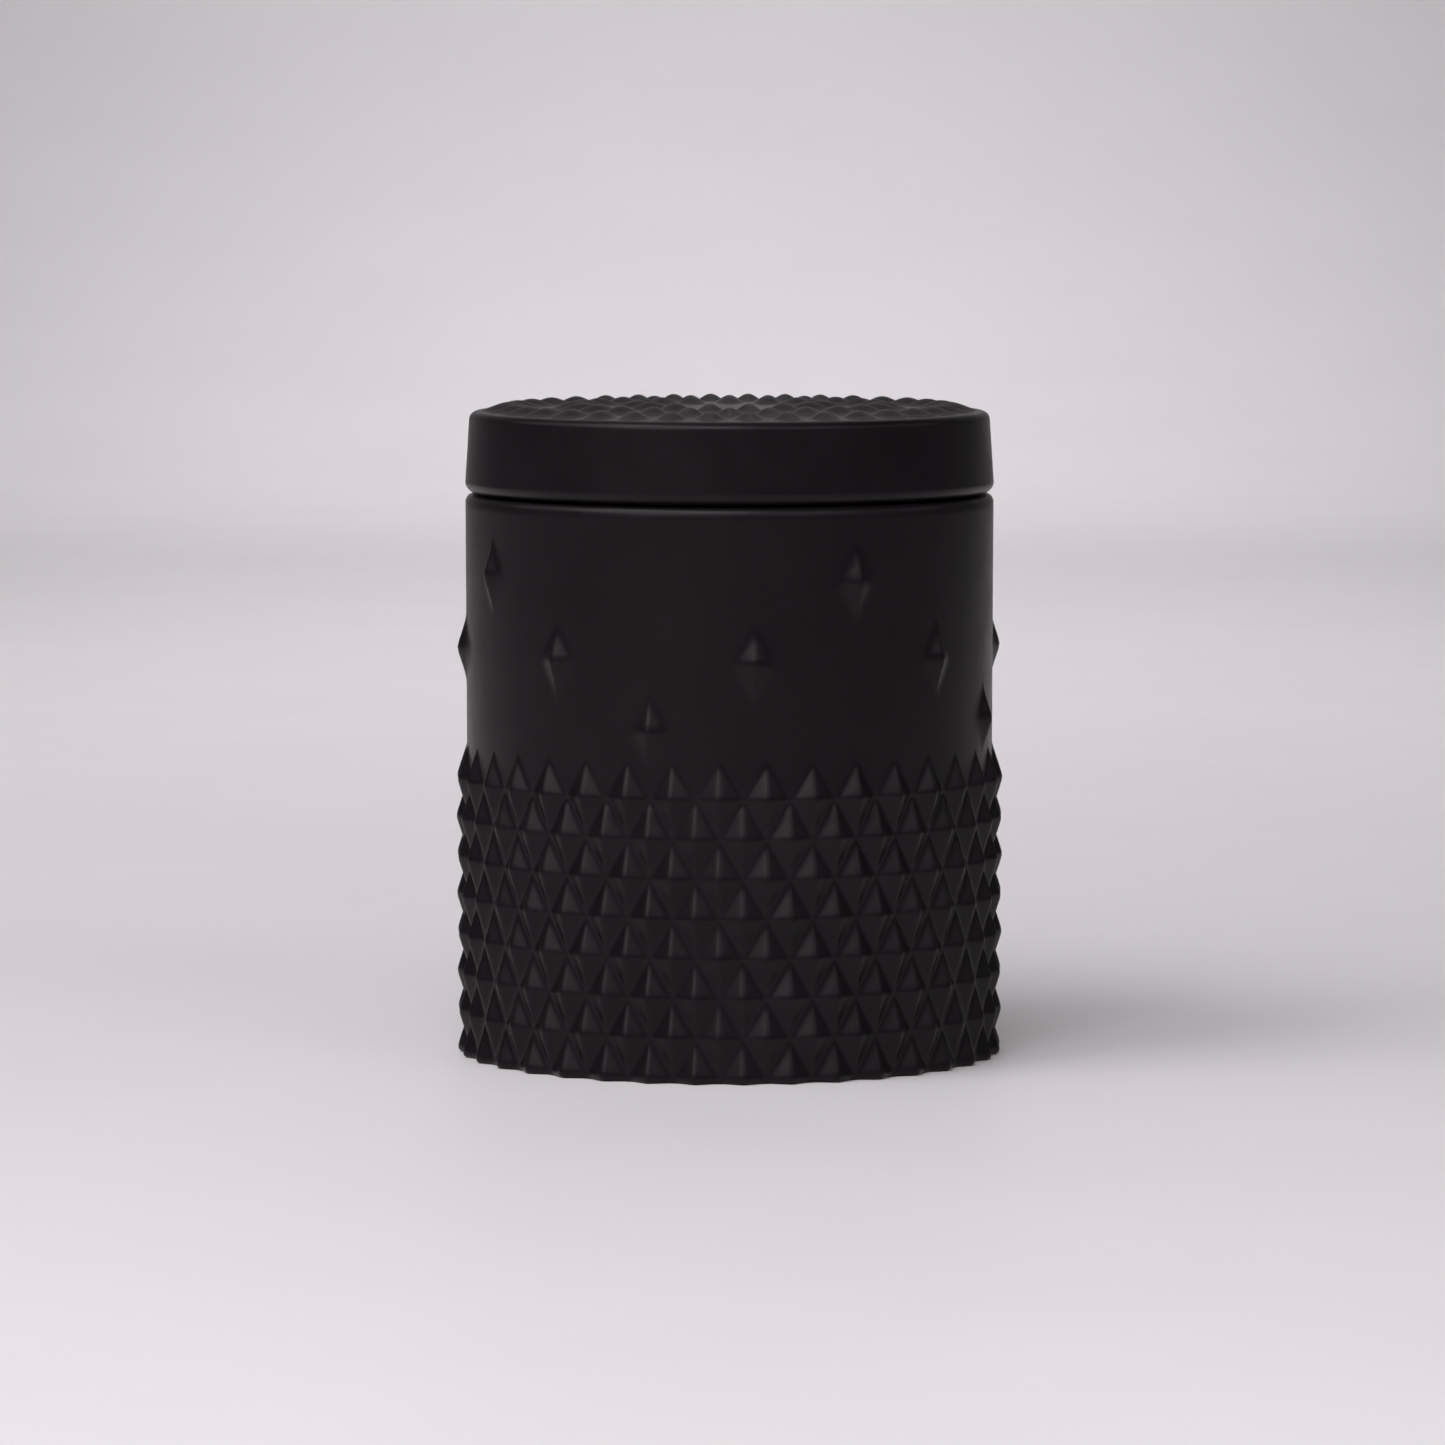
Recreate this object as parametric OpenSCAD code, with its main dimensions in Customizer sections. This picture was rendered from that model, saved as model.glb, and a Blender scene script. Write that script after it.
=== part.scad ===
// Black glass candle jar with a lift-off glass lid and a silicone seal ring.
// +Z is up. The origin is the centre of the jar's base, on the surface it stands on.
// Angles of the studs are counted from the front (-Y) towards +X.

/* [Jar] */
// Height of the jar's rim above the base
jar_height = 85.1; // [78:0.1:92]
// Outer radius of the plain wall at the rim
rim_radius = 40; // [38.5:0.1:42]
// Amount by which the wall is narrower at the base than at the rim
wall_taper = 0.3; // [0:0.05:0.6]
// Radius of the round inner wall in the mouth, where the seal ring slides
mouth_radius = 36.4; // [35.9:0.1:36.8]
// Inner radius at the foot of the hollow, above its round corner
floor_radius = 35.4; // [34:0.1:35.8]
// Thickness of the glass under the hollow
floor_thickness = 8.2; // [6:0.1:10]

/* [Stud band] */
// Number of studs in one row around the jar
studs_around = 36; // [30:2:42]
// Number of stud rows, each shifted by half a stud against the next
stud_rows = 8; // [5:1:8]
// Height of the lowest row of stud tips above the base
lowest_row = 0.85; // [0.6:0.05:1.5]
// Height from one row of stud tips to the next
row_pitch = 5.89; // [5:0.01:6]
// Height of a stud tip above the plain wall
stud_height = 1.75; // [0.8:0.05:1.9]
// Turn of the whole stud pattern about the jar's axis
pattern_turn = -17.2; // [-45:0.1:45]

/* [Scattered studs] */
// Height of the lowest ring of scattered studs above the top row's tips
scatter_start = 9.8; // [9.5:0.1:12]
// Height of the middle ring above the lowest one
scatter_second = 10.1; // [9:0.1:11]
// Height of the highest ring above the middle one
scatter_third = 11.9; // [10:0.1:12]

/* [Lid] */
// Height of the lid's side, from its lower edge to its plain top margin
lid_height = 12.3; // [11:0.1:15]
// Outer radius of the lid at its lower edge
lid_radius = 40.1; // [39.5:0.1:41]
// Amount by which the lid is narrower at its top edge
lid_taper = 0.6; // [0:0.05:1]
// Depth to which the lid's plug reaches into the jar's mouth
plug_depth = 8; // [7:0.1:10]
// Slope of the studded top towards its centre, in degrees
crown_slope = 1.2; // [0.8:0.1:3]
// Height of a lid stud above the sloping top
lid_stud_height = 1.2; // [0.6:0.05:1.5]

/* [Hidden] */
$fn = 96;
arc_steps = 8;
overlap = 0.5;
glass_color = [0.085, 0.078, 0.085];
silicone_color = [0.86, 0.86, 0.84];

// jar
rim_outer_rounding = 0.9;
rim_inner_rounding = 0.8;
mouth_depth = 13;
floor_corner = 5;
punt_radius = 31;
punt_depth = 0.9;
column_angle = 180 / studs_around;
top_row = lowest_row + (stud_rows - 1) * row_pitch;
// a stud shows less than its full row pitch, because its foot is sunk into the wall
visible_share = 0.84;
stud_half_height = visible_share * row_pitch;
stud_half_width = visible_share * rim_radius * sin(column_angle);
band_top = top_row + stud_half_height;
valley_depth = 0.3;
wall_relief = 0.05;
heel_reach = 0.9;
heel_setback = 0.5;

// lid
seat_gap = 0.3;
lid_bottom = jar_height + seat_gap;
lid_top = lid_bottom + lid_height;
lid_top_rounding = 1.1;
lid_bottom_rounding = 1.6;
crown_radius = 37.6;
crown_centre_radius = 9;
crown_rise = (crown_radius - crown_centre_radius) * tan(crown_slope);
plug_gap = 1.1;
plug_radius = mouth_radius - plug_gap;
plug_bottom = lid_bottom - plug_depth;
plug_rounding = 0.8;
recess_radius = 29.5;
recess_corner = 4;
lid_plate = 6.2;
lid_rings = [[33.5, 36, 0.5], [23.1, 24, 0], [14, 15, 0.5]];
lid_stud_half_length = 4.2;
lid_stud_half_width = 2.35;

// seal ring
groove_height = 3.4;
groove_middle = lid_bottom - 3.9;
groove_radius = plug_radius - 1.2;
fit_gap = 0.05;
ring_half_height = groove_height / 2 - fit_gap;
ring_body_radius = plug_radius + 0.1;
lip_count = 3;
lip_half_root = 0.4;
lip_half_tip = 0.12;
lip_pitch = 1.05;
lip_lift = 0.15;

function polar(radius, angle) = radius * [cos(angle), sin(angle)];
function arc(centre, radius, start, end) =
    [for (step = [0 : arc_steps]) centre + polar(radius, start + (end - start) * step / arc_steps)];
function wall_radius(z) = rim_radius - wall_taper * (1 - z / jar_height);
function front_angle(angle) = angle - 90;

// One stud: a four-sided pyramid on a rhomb, long along X, with its foot sunk by root.
module stud(half_length, half_width, height, root) {
    grow = (height + root) / height;
    polyhedron(
        points = [
            [grow * half_length, 0, -root],
            [0, grow * half_width, -root],
            [-grow * half_length, 0, -root],
            [0, -grow * half_width, -root],
            [0, 0, height]
        ],
        faces = [[0, 1, 2, 3], [0, 4, 1], [1, 4, 2], [2, 4, 3], [3, 4, 0]]
    );
}

// The band's outer surface: a grid of levels and columns, with stud tips on every other point.
band_columns = 2 * studs_around;
band_levels = concat(
    [band_top + overlap, band_top],
    [for (row = [0 : stud_rows - 1]) top_row - row * row_pitch],
    [0]
);
last_level = len(band_levels) - 1;

function is_tip(level, column) = level > 1 && level < last_level && (level + column) % 2 == 0;
function relief(level, column) =
    is_tip(level, column) ? stud_height
    : level == 0 ? -2 * overlap
    : level <= 2 ? -wall_relief
    : level < last_level ? -valley_depth
    : (level + column) % 2 == 1 ? heel_reach
    : -heel_setback;
function band_point(level, column) =
    let (
        angle = front_angle(pattern_turn + (column + stud_rows % 2) * column_angle),
        radius = wall_radius(band_levels[level]) + relief(level, column)
    )
    [each polar(radius, angle), band_levels[level]];
function band_index(level, column) = level * band_columns + column % band_columns;

// Each cell of the grid is split along the valley between two studs.
function cell_faces(level, column) =
    let (
        upper_left = band_index(level, column),
        upper_right = band_index(level, column + 1),
        lower_left = band_index(level + 1, column),
        lower_right = band_index(level + 1, column + 1)
    )
    (level + column) % 2 == 0
        ? [[upper_left, upper_right, lower_left], [upper_right, lower_right, lower_left]]
        : [[upper_left, upper_right, lower_right], [upper_left, lower_right, lower_left]];

module stud_band() {
    points = [
        for (level = [0 : last_level])
            for (column = [0 : band_columns - 1])
                band_point(level, column)
    ];
    cells = [
        for (level = [0 : last_level - 1])
            for (column = [0 : band_columns - 1])
                each cell_faces(level, column)
    ];
    top_face = [for (column = [band_columns - 1 : -1 : 0]) band_index(0, column)];
    bottom_face = [for (column = [0 : band_columns - 1]) band_index(last_level, column)];
    polyhedron(points = points, faces = concat([top_face], cells, [bottom_face]));
}

module plain_wall() {
    wall_foot = band_top - wall_relief;
    rounding_centre = [rim_radius - rim_outer_rounding, jar_height - rim_outer_rounding];
    rotate_extrude()
        polygon(concat(
            [[0, wall_foot], [wall_radius(wall_foot), wall_foot]],
            arc(rounding_centre, rim_outer_rounding, 0, 90),
            [[0, jar_height]]
        ));
}

module scattered_ring(z, count, turn) {
    for (index = [0 : count - 1])
        rotate(front_angle(pattern_turn + turn + index * 360 / count))
            translate([wall_radius(z), 0, z])
                rotate([0, 90, 0])
                    stud(stud_half_height, stud_half_width, stud_height, overlap);
}

module scattered_studs() {
    lowest = top_row + scatter_start;
    middle = lowest + scatter_second;
    scattered_ring(lowest, 4, 0);
    scattered_ring(middle, 8, 22.5);
    scattered_ring(middle + scatter_third, 4, 45);
}

module hollow() {
    corner_centre = [floor_radius - floor_corner, floor_thickness + floor_corner];
    lip_centre = [mouth_radius + rim_inner_rounding, jar_height - rim_inner_rounding];
    rotate_extrude()
        polygon(concat(
            [[0, floor_thickness]],
            arc(corner_centre, floor_corner, -90, 0),
            [[mouth_radius, jar_height - mouth_depth]],
            arc(lip_centre, rim_inner_rounding, 180, 90),
            [[lip_centre[0], jar_height + overlap], [0, jar_height + overlap]]
        ));
}

module punt() {
    rotate_extrude()
        polygon([
            [0, -overlap],
            [punt_radius + punt_depth, -overlap],
            [punt_radius + punt_depth, 0],
            [punt_radius, punt_depth],
            [0, punt_depth]
        ]);
}

module jar() {
    color(glass_color)
        difference() {
            union() {
                plain_wall();
                stud_band();
                scattered_studs();
            }
            hollow();
            punt();
        }
}

module lid_body() {
    edge_radius = lid_radius - lid_taper;
    top_centre = [edge_radius - lid_top_rounding, lid_top - lid_top_rounding];
    bottom_centre = [lid_radius - lid_bottom_rounding, lid_bottom + lid_bottom_rounding];
    plug_centre = [plug_radius - plug_rounding, plug_bottom + plug_rounding];
    rotate_extrude()
        polygon(concat(
            [[0, plug_bottom]],
            arc(plug_centre, plug_rounding, -90, 0),
            [[plug_radius, lid_bottom]],
            arc(bottom_centre, lid_bottom_rounding, -90, 0),
            arc(top_centre, lid_top_rounding, 0, 90),
            [
                [crown_radius, lid_top],
                [crown_centre_radius, lid_top + crown_rise],
                [0, lid_top + crown_rise]
            ]
        ));
}

module lid_recess() {
    ceiling = lid_top - lid_plate;
    corner_centre = [recess_radius - recess_corner, ceiling - recess_corner];
    rotate_extrude()
        polygon(concat(
            [[0, plug_bottom - overlap], [recess_radius, plug_bottom - overlap]],
            arc(corner_centre, recess_corner, 0, 90),
            [[0, ceiling]]
        ));
}

module ring_groove() {
    translate([0, 0, groove_middle - groove_height / 2])
        difference() {
            cylinder(r = plug_radius + overlap, h = groove_height);
            cylinder(r = groove_radius, h = groove_height);
        }
}

module lid_studs(ring_radius, count, shift) {
    rise = (crown_radius - ring_radius) * tan(crown_slope);
    for (index = [0 : count - 1])
        rotate(front_angle((index + shift) * 360 / count))
            translate([ring_radius, 0, lid_top + rise])
                rotate([0, crown_slope, 0])
                    stud(lid_stud_half_length, lid_stud_half_width, lid_stud_height, overlap);
}

module lid() {
    color(glass_color)
        difference() {
            union() {
                lid_body();
                for (ring = lid_rings)
                    lid_studs(ring[0], ring[1], ring[2]);
            }
            lid_recess();
            ring_groove();
        }
}

module lip_profile(z) {
    tip = mouth_radius - fit_gap;
    polygon([
        [ring_body_radius - overlap, z - lip_half_root],
        [tip, z + lip_lift - lip_half_tip],
        [tip, z + lip_lift + lip_half_tip],
        [ring_body_radius - overlap, z + lip_half_root]
    ]);
}

module seal_ring() {
    inner = groove_radius + fit_gap;
    color(silicone_color)
        rotate_extrude()
            union() {
                translate([inner, groove_middle - ring_half_height])
                    square([ring_body_radius - inner, 2 * ring_half_height]);
                for (lip = [0 : lip_count - 1])
                    lip_profile(groove_middle + (lip - (lip_count - 1) / 2) * lip_pitch);
            }
}

jar();
lid();
seal_ring();
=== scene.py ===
"""Matt black candle jar with a lid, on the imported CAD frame. Metres, +Z up, the front is -Y."""

import math

import bpy
import numpy as np
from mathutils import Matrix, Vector


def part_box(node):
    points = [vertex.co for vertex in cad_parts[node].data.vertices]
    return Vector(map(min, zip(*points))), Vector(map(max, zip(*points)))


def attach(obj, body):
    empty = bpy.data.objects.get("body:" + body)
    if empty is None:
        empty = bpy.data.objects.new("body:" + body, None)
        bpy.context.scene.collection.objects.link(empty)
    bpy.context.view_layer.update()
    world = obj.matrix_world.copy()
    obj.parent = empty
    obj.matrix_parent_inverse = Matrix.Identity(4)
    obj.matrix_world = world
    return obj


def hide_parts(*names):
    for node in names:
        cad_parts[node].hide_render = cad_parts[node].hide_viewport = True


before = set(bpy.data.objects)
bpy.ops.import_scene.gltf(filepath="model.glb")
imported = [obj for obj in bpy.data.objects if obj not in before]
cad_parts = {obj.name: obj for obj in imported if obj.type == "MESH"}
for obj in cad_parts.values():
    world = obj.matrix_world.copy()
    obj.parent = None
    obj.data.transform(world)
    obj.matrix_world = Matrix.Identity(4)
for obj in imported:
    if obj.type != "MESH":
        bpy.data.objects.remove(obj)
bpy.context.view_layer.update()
MM = 0.001

# ---- sizes, in metres unless a name or comment says otherwise ----

# innermost ring where a surface closes over the axis
HUB_RADIUS = 2 * MM

# jar
RIM_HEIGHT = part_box("jar")[1].z
RIM_RADIUS = 40 * MM
WALL_TAPER = 0.3 * MM
MOUTH_RADIUS = 36.4 * MM
MOUTH_DEPTH = 13 * MM
FLOOR_RADIUS = 35.4 * MM
FLOOR_THICKNESS = 8.2 * MM
FLOOR_CORNER = 5 * MM
RIM_OUTER_ROUNDING = 0.9 * MM
RIM_INNER_ROUNDING = 0.8 * MM
HEEL_ROUNDING = 0.6 * MM
BASE_RADIUS = 37.2 * MM
PUNT_RADIUS = 31 * MM
PUNT_DEPTH = 0.9 * MM

# studs on the jar: rhombic pyramids, sunk a little into the wall and softened like pressed glass;
# turns are in degrees, softness without a unit is a share of a stud's half size
STUDS_AROUND = 36
HALF_PITCH = 180 / STUDS_AROUND
STUD_ROWS = 8
LOWEST_ROW = 0.85 * MM
ROW_PITCH = 5.89 * MM
TOP_ROW = LOWEST_ROW + (STUD_ROWS - 1) * ROW_PITCH
PATTERN_TURN = -17.2
BAND_HEIGHT = 2.2 * MM
BAND_SUNK = 0.2 * MM
SCATTER_HEIGHT = 2.3 * MM
SCATTER_SUNK = 0.5 * MM
RIDGE_SOFTNESS = 0.07
CREST_SOFTNESS = 0.08
VALLEY_SOFTNESS = 0.16
FOOT_SOFTNESS = 0.2 * MM
# the top row fades from free studs to studs with neighbours over this share of a row
BLEND = 0.3
SCATTER_FOOT_SOFTNESS = 0.45 * MM
# (height above the top row, studs in the ring, turn)
SCATTER_RINGS = ((9.8 * MM, 4, 0), (19.9 * MM, 8, 22.5), (31.8 * MM, 4, 45))

# lid
LID_LOW, LID_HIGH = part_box("lid")
SEAT_GAP = 0.3 * MM
LID_BOTTOM = RIM_HEIGHT + SEAT_GAP
LID_HEIGHT = 12.3 * MM
LID_TOP = LID_BOTTOM + LID_HEIGHT
LID_RADIUS = LID_HIGH.x
LID_TAPER = 0.6 * MM
LID_TOP_ROUNDING = 1.3 * MM
LID_BOTTOM_ROUNDING = 1.6 * MM
CROWN_RADIUS = 37.6 * MM
CROWN_CENTRE_RADIUS = 9 * MM
CROWN_SLOPE = math.tan(math.radians(1.2))
# (radius of the ring, studs in it, turn as a share of their spacing)
LID_RINGS = ((33.5 * MM, 36, 0.5), (23.1 * MM, 24, 0), (14 * MM, 15, 0.5))
LID_STUD_LENGTH = 5 * MM
LID_STUD_WIDTH = 2.8 * MM
LID_STUD_HEIGHT = 1.15 * MM
LID_STUD_SHARPNESS = 1.5
PLUG_BOTTOM = LID_LOW.z
PLUG_RADIUS = MOUTH_RADIUS - 1.1 * MM
PLUG_ROUNDING = 0.8 * MM
RECESS_RADIUS = 29.5 * MM
RECESS_CORNER = 4 * MM
LID_PLATE = 6.2 * MM
EDGE_CUT = 0.2 * MM

# seal ring
RING_LOW, RING_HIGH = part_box("seal_ring")
RING_MIDDLE = (RING_LOW.z + RING_HIGH.z) / 2
FIT_GAP = 0.05 * MM
RING_HALF_HEIGHT = (RING_HIGH.z - RING_LOW.z) / 2
GROOVE_RADIUS = PLUG_RADIUS - 1.2 * MM
GROOVE_HALF_HEIGHT = RING_HALF_HEIGHT + FIT_GAP
RING_INNER = GROOVE_RADIUS + FIT_GAP
RING_BODY_RADIUS = PLUG_RADIUS + 0.1 * MM
RING_TIP_RADIUS = RING_HIGH.x
RING_CORNER = 0.15 * MM
LIP_PITCH = 1.05 * MM
LIP_LIFT = 0.15 * MM
LIP_HALF_ROOT = 0.4 * MM
LIP_HALF_TIP = 0.12 * MM
LIP_TIP_DEGREES = 80

# light
LIGHT_COLOUR = (1, 0.94, 0.98)
ROOM_BRIGHTNESS = 0.045

# mesh density: samples per half stud across and per row, with one more level on both sides of a crest
STUD_SAMPLES = 8
CREST_SUPPORT = 0.05
STUD_LEVELS = STUD_SAMPLES + 2
PLAIN_STEP = 0.95 * MM
CROWN_INNER_RADIUS = 5.5 * MM
CROWN_STEPS = 68
CROWN_OVERLAP_IN = 0.6 * MM
CROWN_OVERLAP_OUT = 0.4 * MM
LID_COLUMNS = 576
RING_COLUMNS = 240
ARC_STEPS = 7
HEEL_STEPS = 4
RING_CORNER_STEPS = 3
LIP_TIP_STEPS = 5
BACKDROP_STEPS = 16
SUPPORT = 0.18 * MM
LONG_STRETCH = 2 * MM


# ---- camera ----


def place_camera():
    """A long lens in front of the jar, a little above its lid and looking slightly down."""
    distance = 1.121
    look_down = math.radians(4.88)
    aim = Vector((-1.06 * MM, 0, 50.2 * MM))
    sensor_mm = 36
    focal_mm = 183.4
    data = bpy.data.cameras.new("camera")
    data.sensor_width = sensor_mm
    data.lens = focal_mm
    camera = bpy.data.objects.new("camera", data)
    bpy.context.scene.collection.objects.link(camera)
    back = Vector((0, -math.cos(look_down), math.sin(look_down)))
    camera.location = aim + back * distance
    camera.rotation_mode = "QUATERNION"
    camera.rotation_quaternion = (-back).to_track_quat("-Z", "Y")
    bpy.context.scene.camera = camera


# ---- curves and surfaces in mesh code ----


def soft_max(a, b, width):
    """The larger of two heights, with the crease between them rounded."""
    return (a + b + np.sqrt((a - b) ** 2 + width**2)) / 2


def soft_abs(value, width):
    """The distance from 0, rounded at 0."""
    return np.sqrt(value**2 + width**2)


def nearest_even(value):
    """How far each value lies above (or below, if negative) the nearest even whole number."""
    return value - 2 * np.round(value / 2)


def arc(centre_radius, centre_height, radius, start, end, steps=ARC_STEPS):
    """Points (radius, height) along a round corner of a turned outline. Angles in degrees."""
    angles = np.radians(np.linspace(start, end, steps + 1))
    return [
        (centre_radius + radius * math.cos(a), centre_height + radius * math.sin(a))
        for a in angles
    ]


def with_supports(outline):
    """Adds a point close to both ends of each long stretch, so that smooth shading stays on the corners."""
    points = [outline[0]]
    for (r0, z0), (r1, z1) in zip(outline, outline[1:]):
        length = math.hypot(r1 - r0, z1 - z0)
        if length > LONG_STRETCH:
            for share in (SUPPORT / length, 1 - SUPPORT / length):
                points.append((r0 + (r1 - r0) * share, z0 + (z1 - z0) * share))
        points.append((r1, z1))
    return points


def even_angles(columns):
    """Angles from the front (-Y) towards +X, in degrees."""
    return np.arange(columns) * 360 / columns


def turned_rings(outline, angles):
    """One array of points per outline point, all round."""
    turn = np.radians(angles)
    around = np.stack([np.sin(turn), -np.cos(turn)], 1)
    return [np.column_stack([around * r, np.full(len(turn), z)]) for r, z in outline]


def split_quad(corners, rising):
    """Two triangles, cut along the diagonal that runs with the valleys between studs."""
    a, b, c, d = corners
    if rising:
        return [(a, b, c), (a, c, d)]
    return [(a, b, d), (b, c, d)]


def skin(name, rings, capped=True, bare=range(0), studs=range(0)):
    """A closed mesh through rings of equal length, capped at both ends or joined end to end. Bands in bare
    get the second material. Bands in studs are cut so that each valley follows edges of the mesh: it rises
    in every stud cell whose row and column add up to an odd number, and falls in the others."""
    columns = len(rings[0])
    points = np.concatenate(rings)
    faces = []
    finish = []
    bands = len(rings) - 1
    for level in range(bands):
        low = level * columns
        high = low + columns
        for c in range(columns):
            n = (c + 1) % columns
            corners = (low + c, low + n, high + n, high + c)
            cut = [corners]
            if level in studs:
                row = (level - studs.start) // STUD_LEVELS
                column = c // STUD_SAMPLES
                cut = split_quad(corners, (row + column) % 2 == 1)
            faces += cut
            finish += [int(level in bare)] * len(cut)
    top = bands * columns
    first = len(points)
    if capped:
        points = np.concatenate([points, [rings[0].mean(0), rings[-1].mean(0)]])
    for c in range(columns):
        n = (c + 1) % columns
        if capped:
            faces += [(first, n, c), (first + 1, top + c, top + n)]
            finish += [int(0 in bare), int(bands - 1 in bare)]
        else:
            faces.append((top + c, top + n, n, c))
            finish.append(0)
    mesh = bpy.data.meshes.new(name)
    mesh.from_pydata(points.tolist(), [], faces)
    mesh.polygons.foreach_set("material_index", finish)
    mesh.shade_smooth()
    piece = bpy.data.objects.new(name, mesh)
    bpy.context.scene.collection.objects.link(piece)
    return piece


# ---- the jar ----


def wall_radius(height):
    return RIM_RADIUS - WALL_TAPER * (1 - height / RIM_HEIGHT)


def pyramid(across, along, height, sunk, valley=0):
    """Height of a softened stud above the plain wall; across and along are shares of its half size. A valley
    above 0 rounds the crease where the stud meets its neighbours."""
    fade = np.clip(1 - np.abs(across) - np.abs(along), 0, 1)
    fall = soft_abs(across, RIDGE_SOFTNESS * fade) + soft_abs(along, CREST_SOFTNESS * fade)
    rise = soft_abs(1 - fall, valley) if valley else 1 - fall
    return height * rise - sunk


def dome(across, along):
    """Height share of a round stud on a soft rhombic foot; across and along are shares of its half size."""
    total = np.abs(across) ** LID_STUD_SHARPNESS + np.abs(along) ** LID_STUD_SHARPNESS
    reach = total ** (1 / LID_STUD_SHARPNESS)
    return np.cos(np.clip(reach, 0, 1) * math.pi / 2) ** 2


def band_relief(angle, height):
    """The studded band: rows of pyramids, each row shifted by half a stud, meeting in narrow valleys."""
    across = (angle - PATTERN_TURN) / HALF_PITCH + 1
    along = (TOP_ROW - height) / ROW_PITCH
    if along < 0:
        free_tip = pyramid(nearest_even(across), along, BAND_HEIGHT, BAND_SUNK)
        return soft_max(free_tip, 0, FOOT_SOFTNESS)
    rising = nearest_even(across + along)
    falling = nearest_even(across - along)
    inside = min(along / BLEND, 1)
    from_crest = (rising + falling) / 2
    from_row = (rising - falling) / 2
    stud = pyramid(from_crest, from_row, BAND_HEIGHT, BAND_SUNK, VALLEY_SOFTNESS * inside)
    ground = -BAND_SUNK * along / BLEND
    return soft_max(stud, ground, FOOT_SOFTNESS * (1 - inside))


def scattered_relief(angle, height):
    """The single studs on the plain wall above the band, in three rings."""
    relief = np.full(angle.shape, -SCATTER_SUNK)
    for rise, count, turn in SCATTER_RINGS:
        spacing = 360 / count
        offset = angle - PATTERN_TURN - turn
        offset = offset - spacing * np.round(offset / spacing)
        along = (height - TOP_ROW - rise) / ROW_PITCH
        stud = pyramid(offset / HALF_PITCH, along, SCATTER_HEIGHT, SCATTER_SUNK)
        relief = np.maximum(relief, stud)
    return soft_max(relief, 0, SCATTER_FOOT_SOFTNESS)


def outer_levels():
    """Heights of the rings up the jar's outer wall."""
    heel = LOWEST_ROW * (1 - np.cos(np.radians(np.linspace(0, 90, HEEL_STEPS + 1)[:-1])))
    even = np.arange(1, STUD_SAMPLES) / STUD_SAMPLES
    row = np.concatenate([[0, CREST_SUPPORT], even, [1 - CREST_SUPPORT]])
    band = LOWEST_ROW + ROW_PITCH * np.concatenate([number + row for number in range(STUD_ROWS)])
    plain_top = RIM_HEIGHT - RIM_OUTER_ROUNDING
    count = round((plain_top - band[-1]) / PLAIN_STEP)
    plain = np.linspace(band[-1], plain_top, count + 1)[1:]
    return np.concatenate([heel, band, plain])


def jar_outer_rings(angle):
    """Rings from the base up to the start of the rim's rounding."""
    turn = np.radians(angle)
    rings = []
    for height in outer_levels():
        relief = band_relief(angle, height)
        if height >= TOP_ROW:
            relief = np.maximum(relief, scattered_relief(angle, height))
        radius = wall_radius(height) + relief
        if height < HEEL_ROUNDING:
            rise = HEEL_ROUNDING - height
            radius = radius - (HEEL_ROUNDING - math.sqrt(HEEL_ROUNDING**2 - rise**2))
        level = np.full(len(turn), height)
        ring = np.column_stack([radius * np.sin(turn), -radius * np.cos(turn), level])
        rings.append(ring)
    return rings


def make_jar():
    """The glass body: base, studded wall, rim and hollow in one closed mesh."""
    columns = 2 * STUDS_AROUND * STUD_SAMPLES
    angles = PATTERN_TURN + even_angles(columns)
    underside = with_supports([
        (HUB_RADIUS, PUNT_DEPTH),
        (PUNT_RADIUS, PUNT_DEPTH),
        (PUNT_RADIUS + PUNT_DEPTH, 0),
        (BASE_RADIUS, 0),
    ])
    rim = arc(
        RIM_RADIUS - RIM_OUTER_ROUNDING, RIM_HEIGHT - RIM_OUTER_ROUNDING, RIM_OUTER_ROUNDING, 0, 90
    )[1:]
    inner_edge = arc(
        MOUTH_RADIUS + RIM_INNER_ROUNDING, RIM_HEIGHT - RIM_INNER_ROUNDING, RIM_INNER_ROUNDING, 90, 180
    )
    corner = arc(
        FLOOR_RADIUS - FLOOR_CORNER, FLOOR_THICKNESS + FLOOR_CORNER, FLOOR_CORNER, 0, -90
    )
    inside = (
        rim
        + inner_edge
        + [(MOUTH_RADIUS, RIM_HEIGHT - MOUTH_DEPTH)]
        + corner
        + [(HUB_RADIUS, FLOOR_THICKNESS)]
    )
    inside = with_supports(inside)
    below = turned_rings(underside, angles)
    outer = jar_outer_rings(angles)
    rings = below + outer + turned_rings(inside, angles)
    coated = len(below) + len(outer) + len(rim) + 1
    band = len(below) + HEEL_STEPS
    studs = range(band, band + STUD_ROWS * STUD_LEVELS)
    return skin("jar_glass", rings, bare=range(coated, len(rings)), studs=studs)


# ---- the lid ----


def crown_height(radius, angle):
    """Height of the studded top: a shallow cone with three rings of round studs."""
    ground = LID_TOP + (CROWN_RADIUS - max(radius, CROWN_CENTRE_RADIUS)) * CROWN_SLOPE
    relief = np.zeros(angle.shape)
    for ring_radius, count, shift in LID_RINGS:
        spacing = 360 / count
        offset = angle / spacing - shift
        offset = np.radians((offset - np.round(offset)) * spacing)
        across = radius * np.sin(offset) / LID_STUD_WIDTH
        along = (radius * np.cos(offset) - ring_radius) / LID_STUD_LENGTH
        relief = np.maximum(relief, LID_STUD_HEIGHT * dome(across, along))
    return ground + relief


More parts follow.
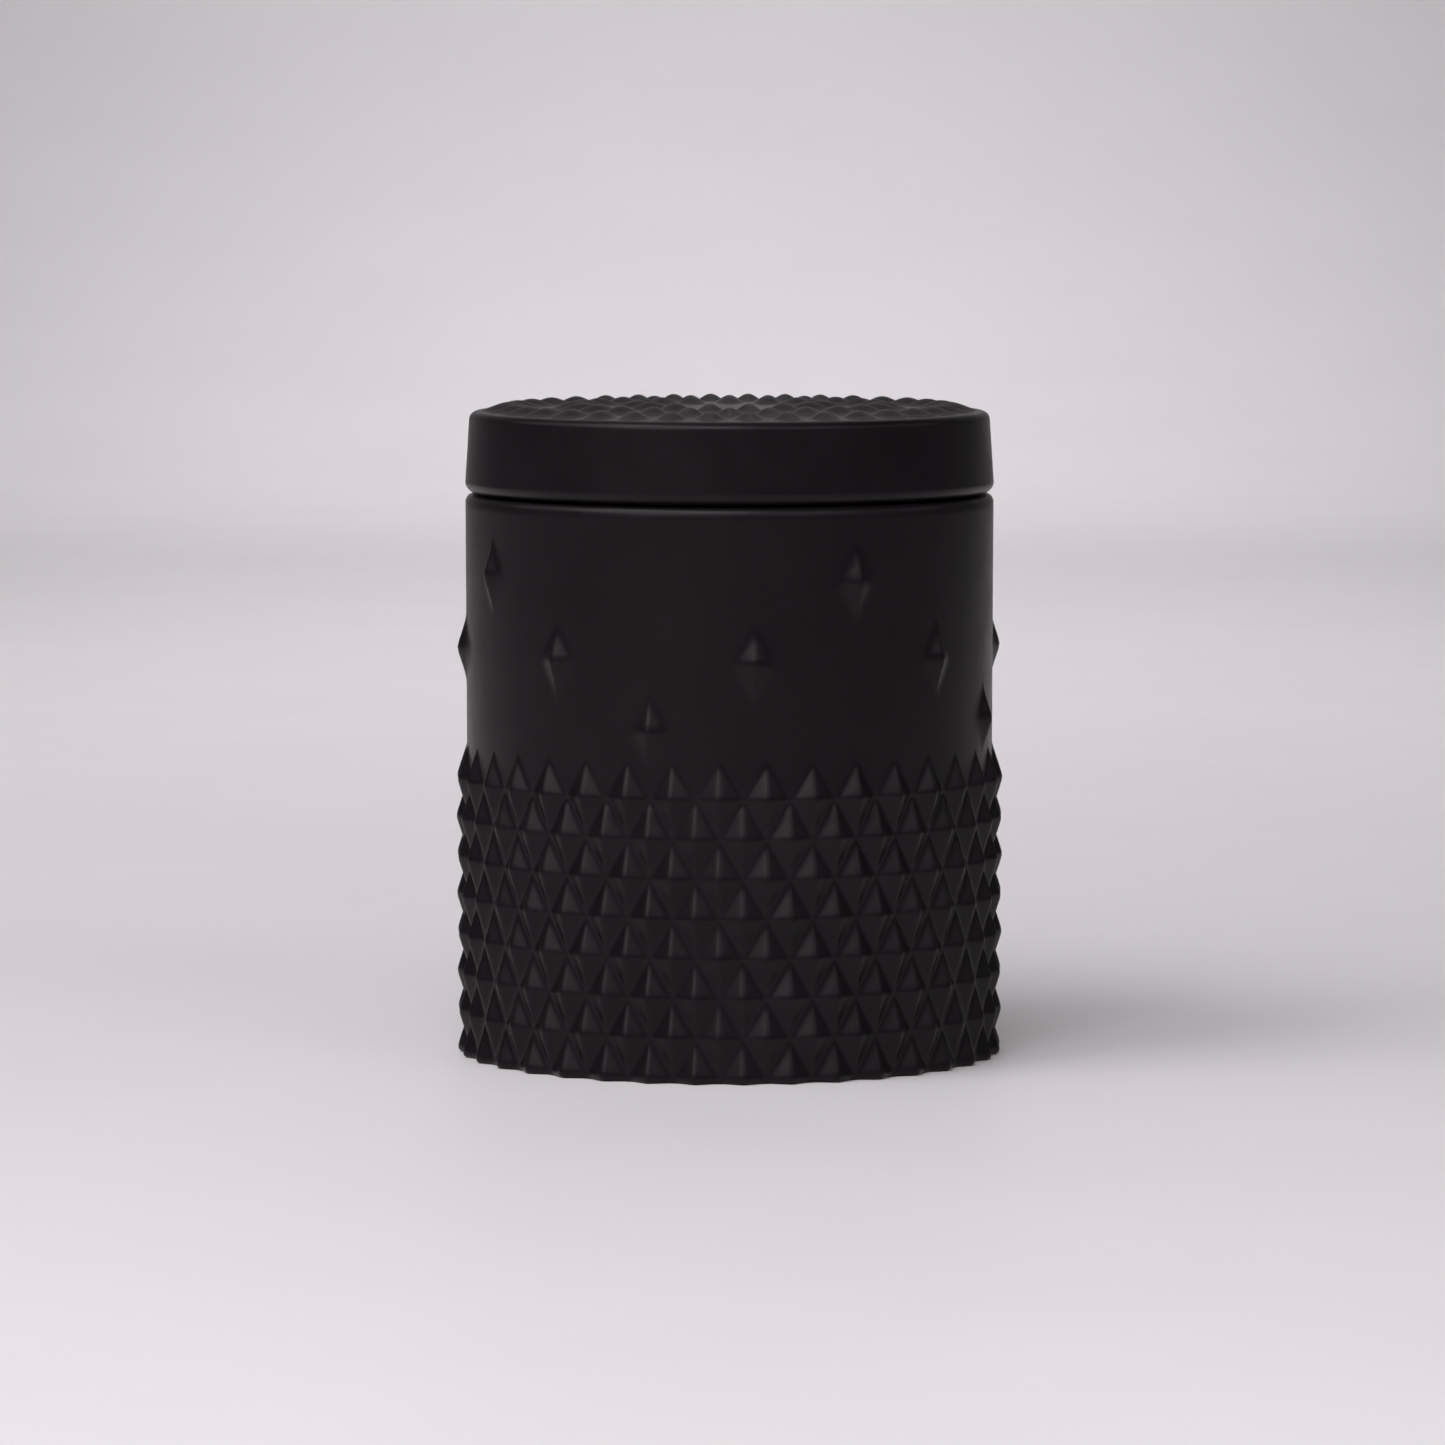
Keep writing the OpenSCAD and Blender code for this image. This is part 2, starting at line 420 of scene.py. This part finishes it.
def crown_rings(angle):
    """Rings from the middle of the top out to its plain margin."""
    turn = np.radians(angle)
    first = CROWN_CENTRE_RADIUS - CROWN_OVERLAP_IN
    last = CROWN_RADIUS + CROWN_OVERLAP_OUT
    studded = np.linspace(first, last, CROWN_STEPS)
    rings = []
    for radius in np.concatenate([[HUB_RADIUS, CROWN_INNER_RADIUS], studded]):
        height = crown_height(min(radius, CROWN_RADIUS), angle)
        if radius > CROWN_RADIUS:
            height = np.full(len(turn), LID_TOP)
        rings.append(np.column_stack([radius * np.sin(turn), -radius * np.cos(turn), height]))
    return rings


def make_lid():
    """The lid: studded top, side, and the plug with its groove and recess in one closed mesh."""
    edge_radius = LID_RADIUS - LID_TAPER
    side = arc(edge_radius - LID_TOP_ROUNDING, LID_TOP - LID_TOP_ROUNDING, LID_TOP_ROUNDING, 90, 0)
    side += arc(
        LID_RADIUS - LID_BOTTOM_ROUNDING, LID_BOTTOM + LID_BOTTOM_ROUNDING, LID_BOTTOM_ROUNDING, 0, -90
    )
    ceiling = LID_TOP - LID_PLATE
    groove_top = RING_MIDDLE + GROOVE_HALF_HEIGHT
    groove_bottom = RING_MIDDLE - GROOVE_HALF_HEIGHT
    under = [
        (PLUG_RADIUS + 3 * EDGE_CUT, LID_BOTTOM),
        (PLUG_RADIUS, LID_BOTTOM - EDGE_CUT),
        (PLUG_RADIUS, groove_top + EDGE_CUT),
        (PLUG_RADIUS - EDGE_CUT, groove_top),
        (GROOVE_RADIUS, groove_top),
        (GROOVE_RADIUS, groove_bottom),
        (PLUG_RADIUS - EDGE_CUT, groove_bottom),
        (PLUG_RADIUS, groove_bottom - EDGE_CUT),
    ]
    under += arc(PLUG_RADIUS - PLUG_ROUNDING, PLUG_BOTTOM + PLUG_ROUNDING, PLUG_ROUNDING, 0, -90)
    under += arc(RECESS_RADIUS + PLUG_ROUNDING, PLUG_BOTTOM + PLUG_ROUNDING, PLUG_ROUNDING, -90, -180)
    under += arc(RECESS_RADIUS - RECESS_CORNER, ceiling - RECESS_CORNER, RECESS_CORNER, 0, 90)
    under.append((HUB_RADIUS, ceiling))
    angles = even_angles(LID_COLUMNS)
    crown = crown_rings(angles)
    outline = with_supports(side + under)
    turned = turned_rings(outline, angles)
    rings = (crown + turned)[::-1]
    bare = sum(1 for r, z in outline if z < LID_BOTTOM - EDGE_CUT / 2 or r < PLUG_RADIUS)
    return skin("lid_glass", rings, bare=range(bare))


# ---- the seal ring ----


def make_seal_ring():
    """The silicone ring with its three lips, each turned up a little."""
    inner = RING_INNER + RING_CORNER
    outer = RING_BODY_RADIUS - RING_CORNER
    low = RING_MIDDLE - RING_HALF_HEIGHT + RING_CORNER
    high = RING_MIDDLE + RING_HALF_HEIGHT - RING_CORNER
    outline = arc(inner, low, RING_CORNER, 180, 270, RING_CORNER_STEPS)
    outline += arc(outer, low, RING_CORNER, -90, 0, RING_CORNER_STEPS)
    for lip in (-1, 0, 1):
        root = RING_MIDDLE + lip * LIP_PITCH
        tip = root + LIP_LIFT
        outline.append((RING_BODY_RADIUS, root - LIP_HALF_ROOT))
        tip_centre = RING_TIP_RADIUS - LIP_HALF_TIP
        outline += arc(tip_centre, tip, LIP_HALF_TIP, -LIP_TIP_DEGREES, LIP_TIP_DEGREES, LIP_TIP_STEPS)
        outline.append((RING_BODY_RADIUS, root + LIP_HALF_ROOT))
    outline += arc(outer, high, RING_CORNER, 0, 90, RING_CORNER_STEPS)
    outline += arc(inner, high, RING_CORNER, 90, 180, RING_CORNER_STEPS)
    return skin("silicone_seal", turned_rings(outline, even_angles(RING_COLUMNS)), capped=False)


# ---- materials: noise scales are in features per metre, colours are linear ----


def new_material(name):
    material = bpy.data.materials.new(name)
    material.use_nodes = True
    shader = material.node_tree.nodes["Principled BSDF"]
    return material, material.node_tree, shader


def add_noise(tree, scale, detail=3, roughness=0.5):
    """Noise that stays on the object."""
    place = tree.nodes.new("ShaderNodeTexCoord")
    noise = tree.nodes.new("ShaderNodeTexNoise")
    noise.inputs["Scale"].default_value = scale
    noise.inputs["Detail"].default_value = detail
    noise.inputs["Roughness"].default_value = roughness
    tree.links.new(place.outputs["Object"], noise.inputs["Vector"])
    return noise


def add_ramp(tree, source, stops):
    """A colour ramp on a value; stops are (position, grey or colour)."""
    ramp = tree.nodes.new("ShaderNodeValToRGB")
    elements = ramp.color_ramp.elements
    while len(elements) < len(stops):
        elements.new(0.5)
    for element, (position, colour) in zip(elements, stops):
        element.position = position
        if not isinstance(colour, tuple):
            colour = (colour, colour, colour)
        element.color = (*colour, 1)
    tree.links.new(source, ramp.inputs["Fac"])
    return ramp


def add_bump(tree, shader, source, distance, strength, below=None):
    bump = tree.nodes.new("ShaderNodeBump")
    bump.inputs["Distance"].default_value = distance
    bump.inputs["Strength"].default_value = strength
    tree.links.new(source, bump.inputs["Height"])
    if below is not None:
        tree.links.new(below.outputs["Normal"], bump.inputs["Normal"])
    tree.links.new(bump.outputs["Normal"], shader.inputs["Normal"])
    return bump


def add_mix(tree, factor, first, second):
    """Mixes two colours by a value socket; either colour may be a socket or a tuple."""
    mix = tree.nodes.new("ShaderNodeMix")
    mix.data_type = "RGBA"
    tree.links.new(factor, mix.inputs["Factor"])
    for socket, colour in (("A", first), ("B", second)):
        target = [s for s in mix.inputs if s.name == socket and s.type == "RGBA"][0]
        if isinstance(colour, tuple):
            target.default_value = (*colour, 1)
        else:
            tree.links.new(colour, target)
    return [s for s in mix.outputs if s.type == "RGBA"][0]


def sprayed_black():
    """Matt black spray coat on glass: fine orange-peel grain, soft sheen, a few pale dust specks."""
    material, tree, shader = new_material("sprayed_black")
    tone = add_noise(tree, 90, detail=4)
    dark = (0.0044, 0.0036, 0.0045)
    light = (0.0062, 0.0051, 0.0063)
    dust = (0.35, 0.34, 0.33)
    colour = add_ramp(tree, tone.outputs["Fac"], ((0.3, dark), (0.7, light)))
    place = tree.nodes.new("ShaderNodeTexCoord")
    specks = tree.nodes.new("ShaderNodeTexVoronoi")
    specks.inputs["Scale"].default_value = 240
    specks.inputs["Randomness"].default_value = 1
    tree.links.new(place.outputs["Object"], specks.inputs["Vector"])
    in_speck = add_ramp(tree, specks.outputs["Distance"], ((0.0, 1.0), (0.035, 0.0)))
    chosen = add_ramp(tree, specks.outputs["Color"], ((0.93, 0.0), (0.95, 1.0)))
    both = tree.nodes.new("ShaderNodeMath")
    both.operation = "MULTIPLY"
    tree.links.new(in_speck.outputs["Color"], both.inputs[0])
    tree.links.new(chosen.outputs["Color"], both.inputs[1])
    dusted = add_mix(tree, both.outputs["Value"], colour.outputs["Color"], dust)
    tree.links.new(dusted, shader.inputs["Base Color"])
    sheen = add_noise(tree, 160, detail=5, roughness=0.6)
    rough = add_ramp(tree, sheen.outputs["Fac"], ((0.3, 0.31), (0.7, 0.38)))
    tree.links.new(rough.outputs["Color"], shader.inputs["Roughness"])
    shader.inputs["IOR"].default_value = 1.27
    grain = add_noise(tree, 5200, detail=2)
    peel = add_noise(tree, 900, detail=2)
    first = add_bump(tree, shader, peel.outputs["Fac"], 0.02 * MM, 0.25)
    add_bump(tree, shader, grain.outputs["Fac"], 0.012 * MM, 0.35, below=first)
    return material


def bare_black_glass():
    """Clear glass over the coat on its far side: deep black with a wet gloss and faint mould waves."""
    material, tree, shader = new_material("bare_black_glass")
    tone = add_noise(tree, 60)
    dark = (0.004, 0.0038, 0.0042)
    light = (0.0068, 0.0062, 0.007)
    colour = add_ramp(tree, tone.outputs["Fac"], ((0.3, dark), (0.7, light)))
    tree.links.new(colour.outputs["Color"], shader.inputs["Base Color"])
    smear = add_noise(tree, 45, detail=4)
    rough = add_ramp(tree, smear.outputs["Fac"], ((0.35, 0.05), (0.75, 0.11)))
    tree.links.new(rough.outputs["Color"], shader.inputs["Roughness"])
    shader.inputs["IOR"].default_value = 1.5
    waves = add_noise(tree, 130, detail=1)
    add_bump(tree, shader, waves.outputs["Fac"], 0.25 * MM, 0.12)
    return material


def clouded_silicone():
    """Translucent silicone rubber with a faint haze and fine grain."""
    material, tree, shader = new_material("clouded_silicone")
    haze = add_noise(tree, 350, detail=4)
    dark = (0.62, 0.62, 0.59)
    light = (0.78, 0.78, 0.75)
    colour = add_ramp(tree, haze.outputs["Fac"], ((0.3, dark), (0.7, light)))
    tree.links.new(colour.outputs["Color"], shader.inputs["Base Color"])
    rough = add_ramp(tree, haze.outputs["Fac"], ((0.3, 0.34), (0.7, 0.48)))
    tree.links.new(rough.outputs["Color"], shader.inputs["Roughness"])
    shader.inputs["IOR"].default_value = 1.41
    shader.inputs["Subsurface Weight"].default_value = 0.5
    shader.inputs["Subsurface Radius"].default_value = (1, 1, 0.9)
    shader.inputs["Subsurface Scale"].default_value = 0.8 * MM
    skin_grain = add_noise(tree, 2500, detail=2)
    add_bump(tree, shader, skin_grain.outputs["Fac"], 0.02 * MM, 0.3)
    return material


def pale_table():
    """Pale, faintly glossy surface of the table top and the backdrop."""
    material, tree, shader = new_material("pale_table")
    mottle = add_noise(tree, 14, detail=5)
    colour = add_ramp(tree, mottle.outputs["Fac"], ((0.3, 0.84), (0.7, 0.86)))
    tree.links.new(colour.outputs["Color"], shader.inputs["Base Color"])
    shader.inputs["Roughness"].default_value = 0.5
    shader.inputs["IOR"].default_value = 1.3
    return material


# ---- stage and light ----


def make_stage():
    """A pale sheet: flat under the jar, then curving up into a plain backdrop."""
    half_width = 3.0
    front = -2.0
    bend_start = 1.6
    bend_radius = 0.8
    top = 2.6
    outline = [(front, 0), (bend_start, 0)]
    for angle in np.radians(np.linspace(-90, 0, BACKDROP_STEPS + 1))[1:]:
        outline.append((
            bend_start + bend_radius * math.cos(angle),
            bend_radius + bend_radius * math.sin(angle),
        ))
    outline.append((bend_start + bend_radius, top))
    points = [(x, y, z) for x in (-half_width, half_width) for y, z in outline]
    count = len(outline)
    faces = [(i, i + count, i + count + 1, i + 1) for i in range(count - 1)]
    mesh = bpy.data.meshes.new("stage")
    mesh.from_pydata(points, [], faces)
    mesh.shade_smooth()
    sheet = bpy.data.objects.new("stage", mesh)
    sheet.data.materials.append(pale_table())
    bpy.context.scene.collection.objects.link(sheet)


def add_softbox(
    name, azimuth, elevation, distance, width, height, brightness,
    aim=(0, 0, 50 * MM), spread=180, colour=LIGHT_COLOUR,
):
    """A rectangular soft light facing a point. Angles in degrees, the azimuth from the front towards +X.
    Brightness is the radiance at full spread; 1 shows as just white."""
    a, e = math.radians(azimuth), math.radians(elevation)
    outward = Vector((math.sin(a) * math.cos(e), -math.cos(a) * math.cos(e), math.sin(e)))
    data = bpy.data.lights.new(name, "AREA")
    data.shape = "RECTANGLE"
    data.size = width
    data.size_y = height
    data.energy = brightness * math.pi * width * height
    data.color = colour
    data.spread = math.radians(spread)
    light = bpy.data.objects.new(name, data)
    light.location = Vector(aim) + outward * distance
    light.rotation_mode = "QUATERNION"
    light.rotation_quaternion = outward.to_track_quat("Z", "Y")
    bpy.context.scene.collection.objects.link(light)


def light_scene():
    world = bpy.data.worlds.new("room")
    world.use_nodes = True
    background = world.node_tree.nodes["Background"]
    background.inputs["Color"].default_value = (*LIGHT_COLOUR, 1)
    background.inputs["Strength"].default_value = ROOM_BRIGHTNESS
    bpy.context.scene.world = world
    bpy.context.scene.view_settings.view_transform = "Standard"
    # azimuth, elevation, distance, width, height, brightness, and where given the aim and the spread
    add_softbox("left", -98, 36, 1.3, 0.6, 0.6, 1.1)
    add_softbox("key_left", -62, 46, 1.3, 0.6, 0.9, 3.7)
    add_softbox("key", -35, 42, 1.3, 0.5, 0.8, 1.9)
    add_softbox("key_front", -8, 42, 1.3, 0.6, 0.6, 4.8)
    add_softbox("low_front", -35, 24, 1.3, 0.6, 0.2, 2.8)
    add_softbox("front_right", 38, 32, 1.3, 0.8, 0.4, 2.3)
    add_softbox("right", 84, 26, 1.3, 1.0, 0.45, 0.55)
    add_softbox("top_front", -20, 80, 1.3, 1.2, 0.9, 0.25)
    add_softbox("rim_left", -154, 6, 1.2, 0.1, 0.16, 0.2, colour=(1, 0.8, 0.7))
    add_softbox("back_top", 180, 50, 1.4, 1.0, 0.7, 0.6)
    add_softbox("over_table", 90, 90, 1.1, 0.5, 1.6, 0.67, (0, 1.2, 0), 60)
    add_softbox("backdrop", 0, 60, 0.9, 0.5, 0.3, 1.75, (0, 2.2, 0.25), 120)
    add_softbox("backdrop_low", 0, 40, 0.9, 1.4, 0.3, 0.65, (0, 2.0, 0.1), 120)


# ---- build ----

place_camera()

sprayed = sprayed_black()
bare = bare_black_glass()

jar = make_jar()
jar.data.materials.append(sprayed)
jar.data.materials.append(bare)
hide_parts("jar")
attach(jar, "jar")

lid = make_lid()
lid.data.materials.append(sprayed)
lid.data.materials.append(bare)
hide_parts("lid")
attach(lid, "lid")

seal = make_seal_ring()
seal.data.materials.append(clouded_silicone())
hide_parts("seal_ring")
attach(seal, "seal")

make_stage()
light_scene()
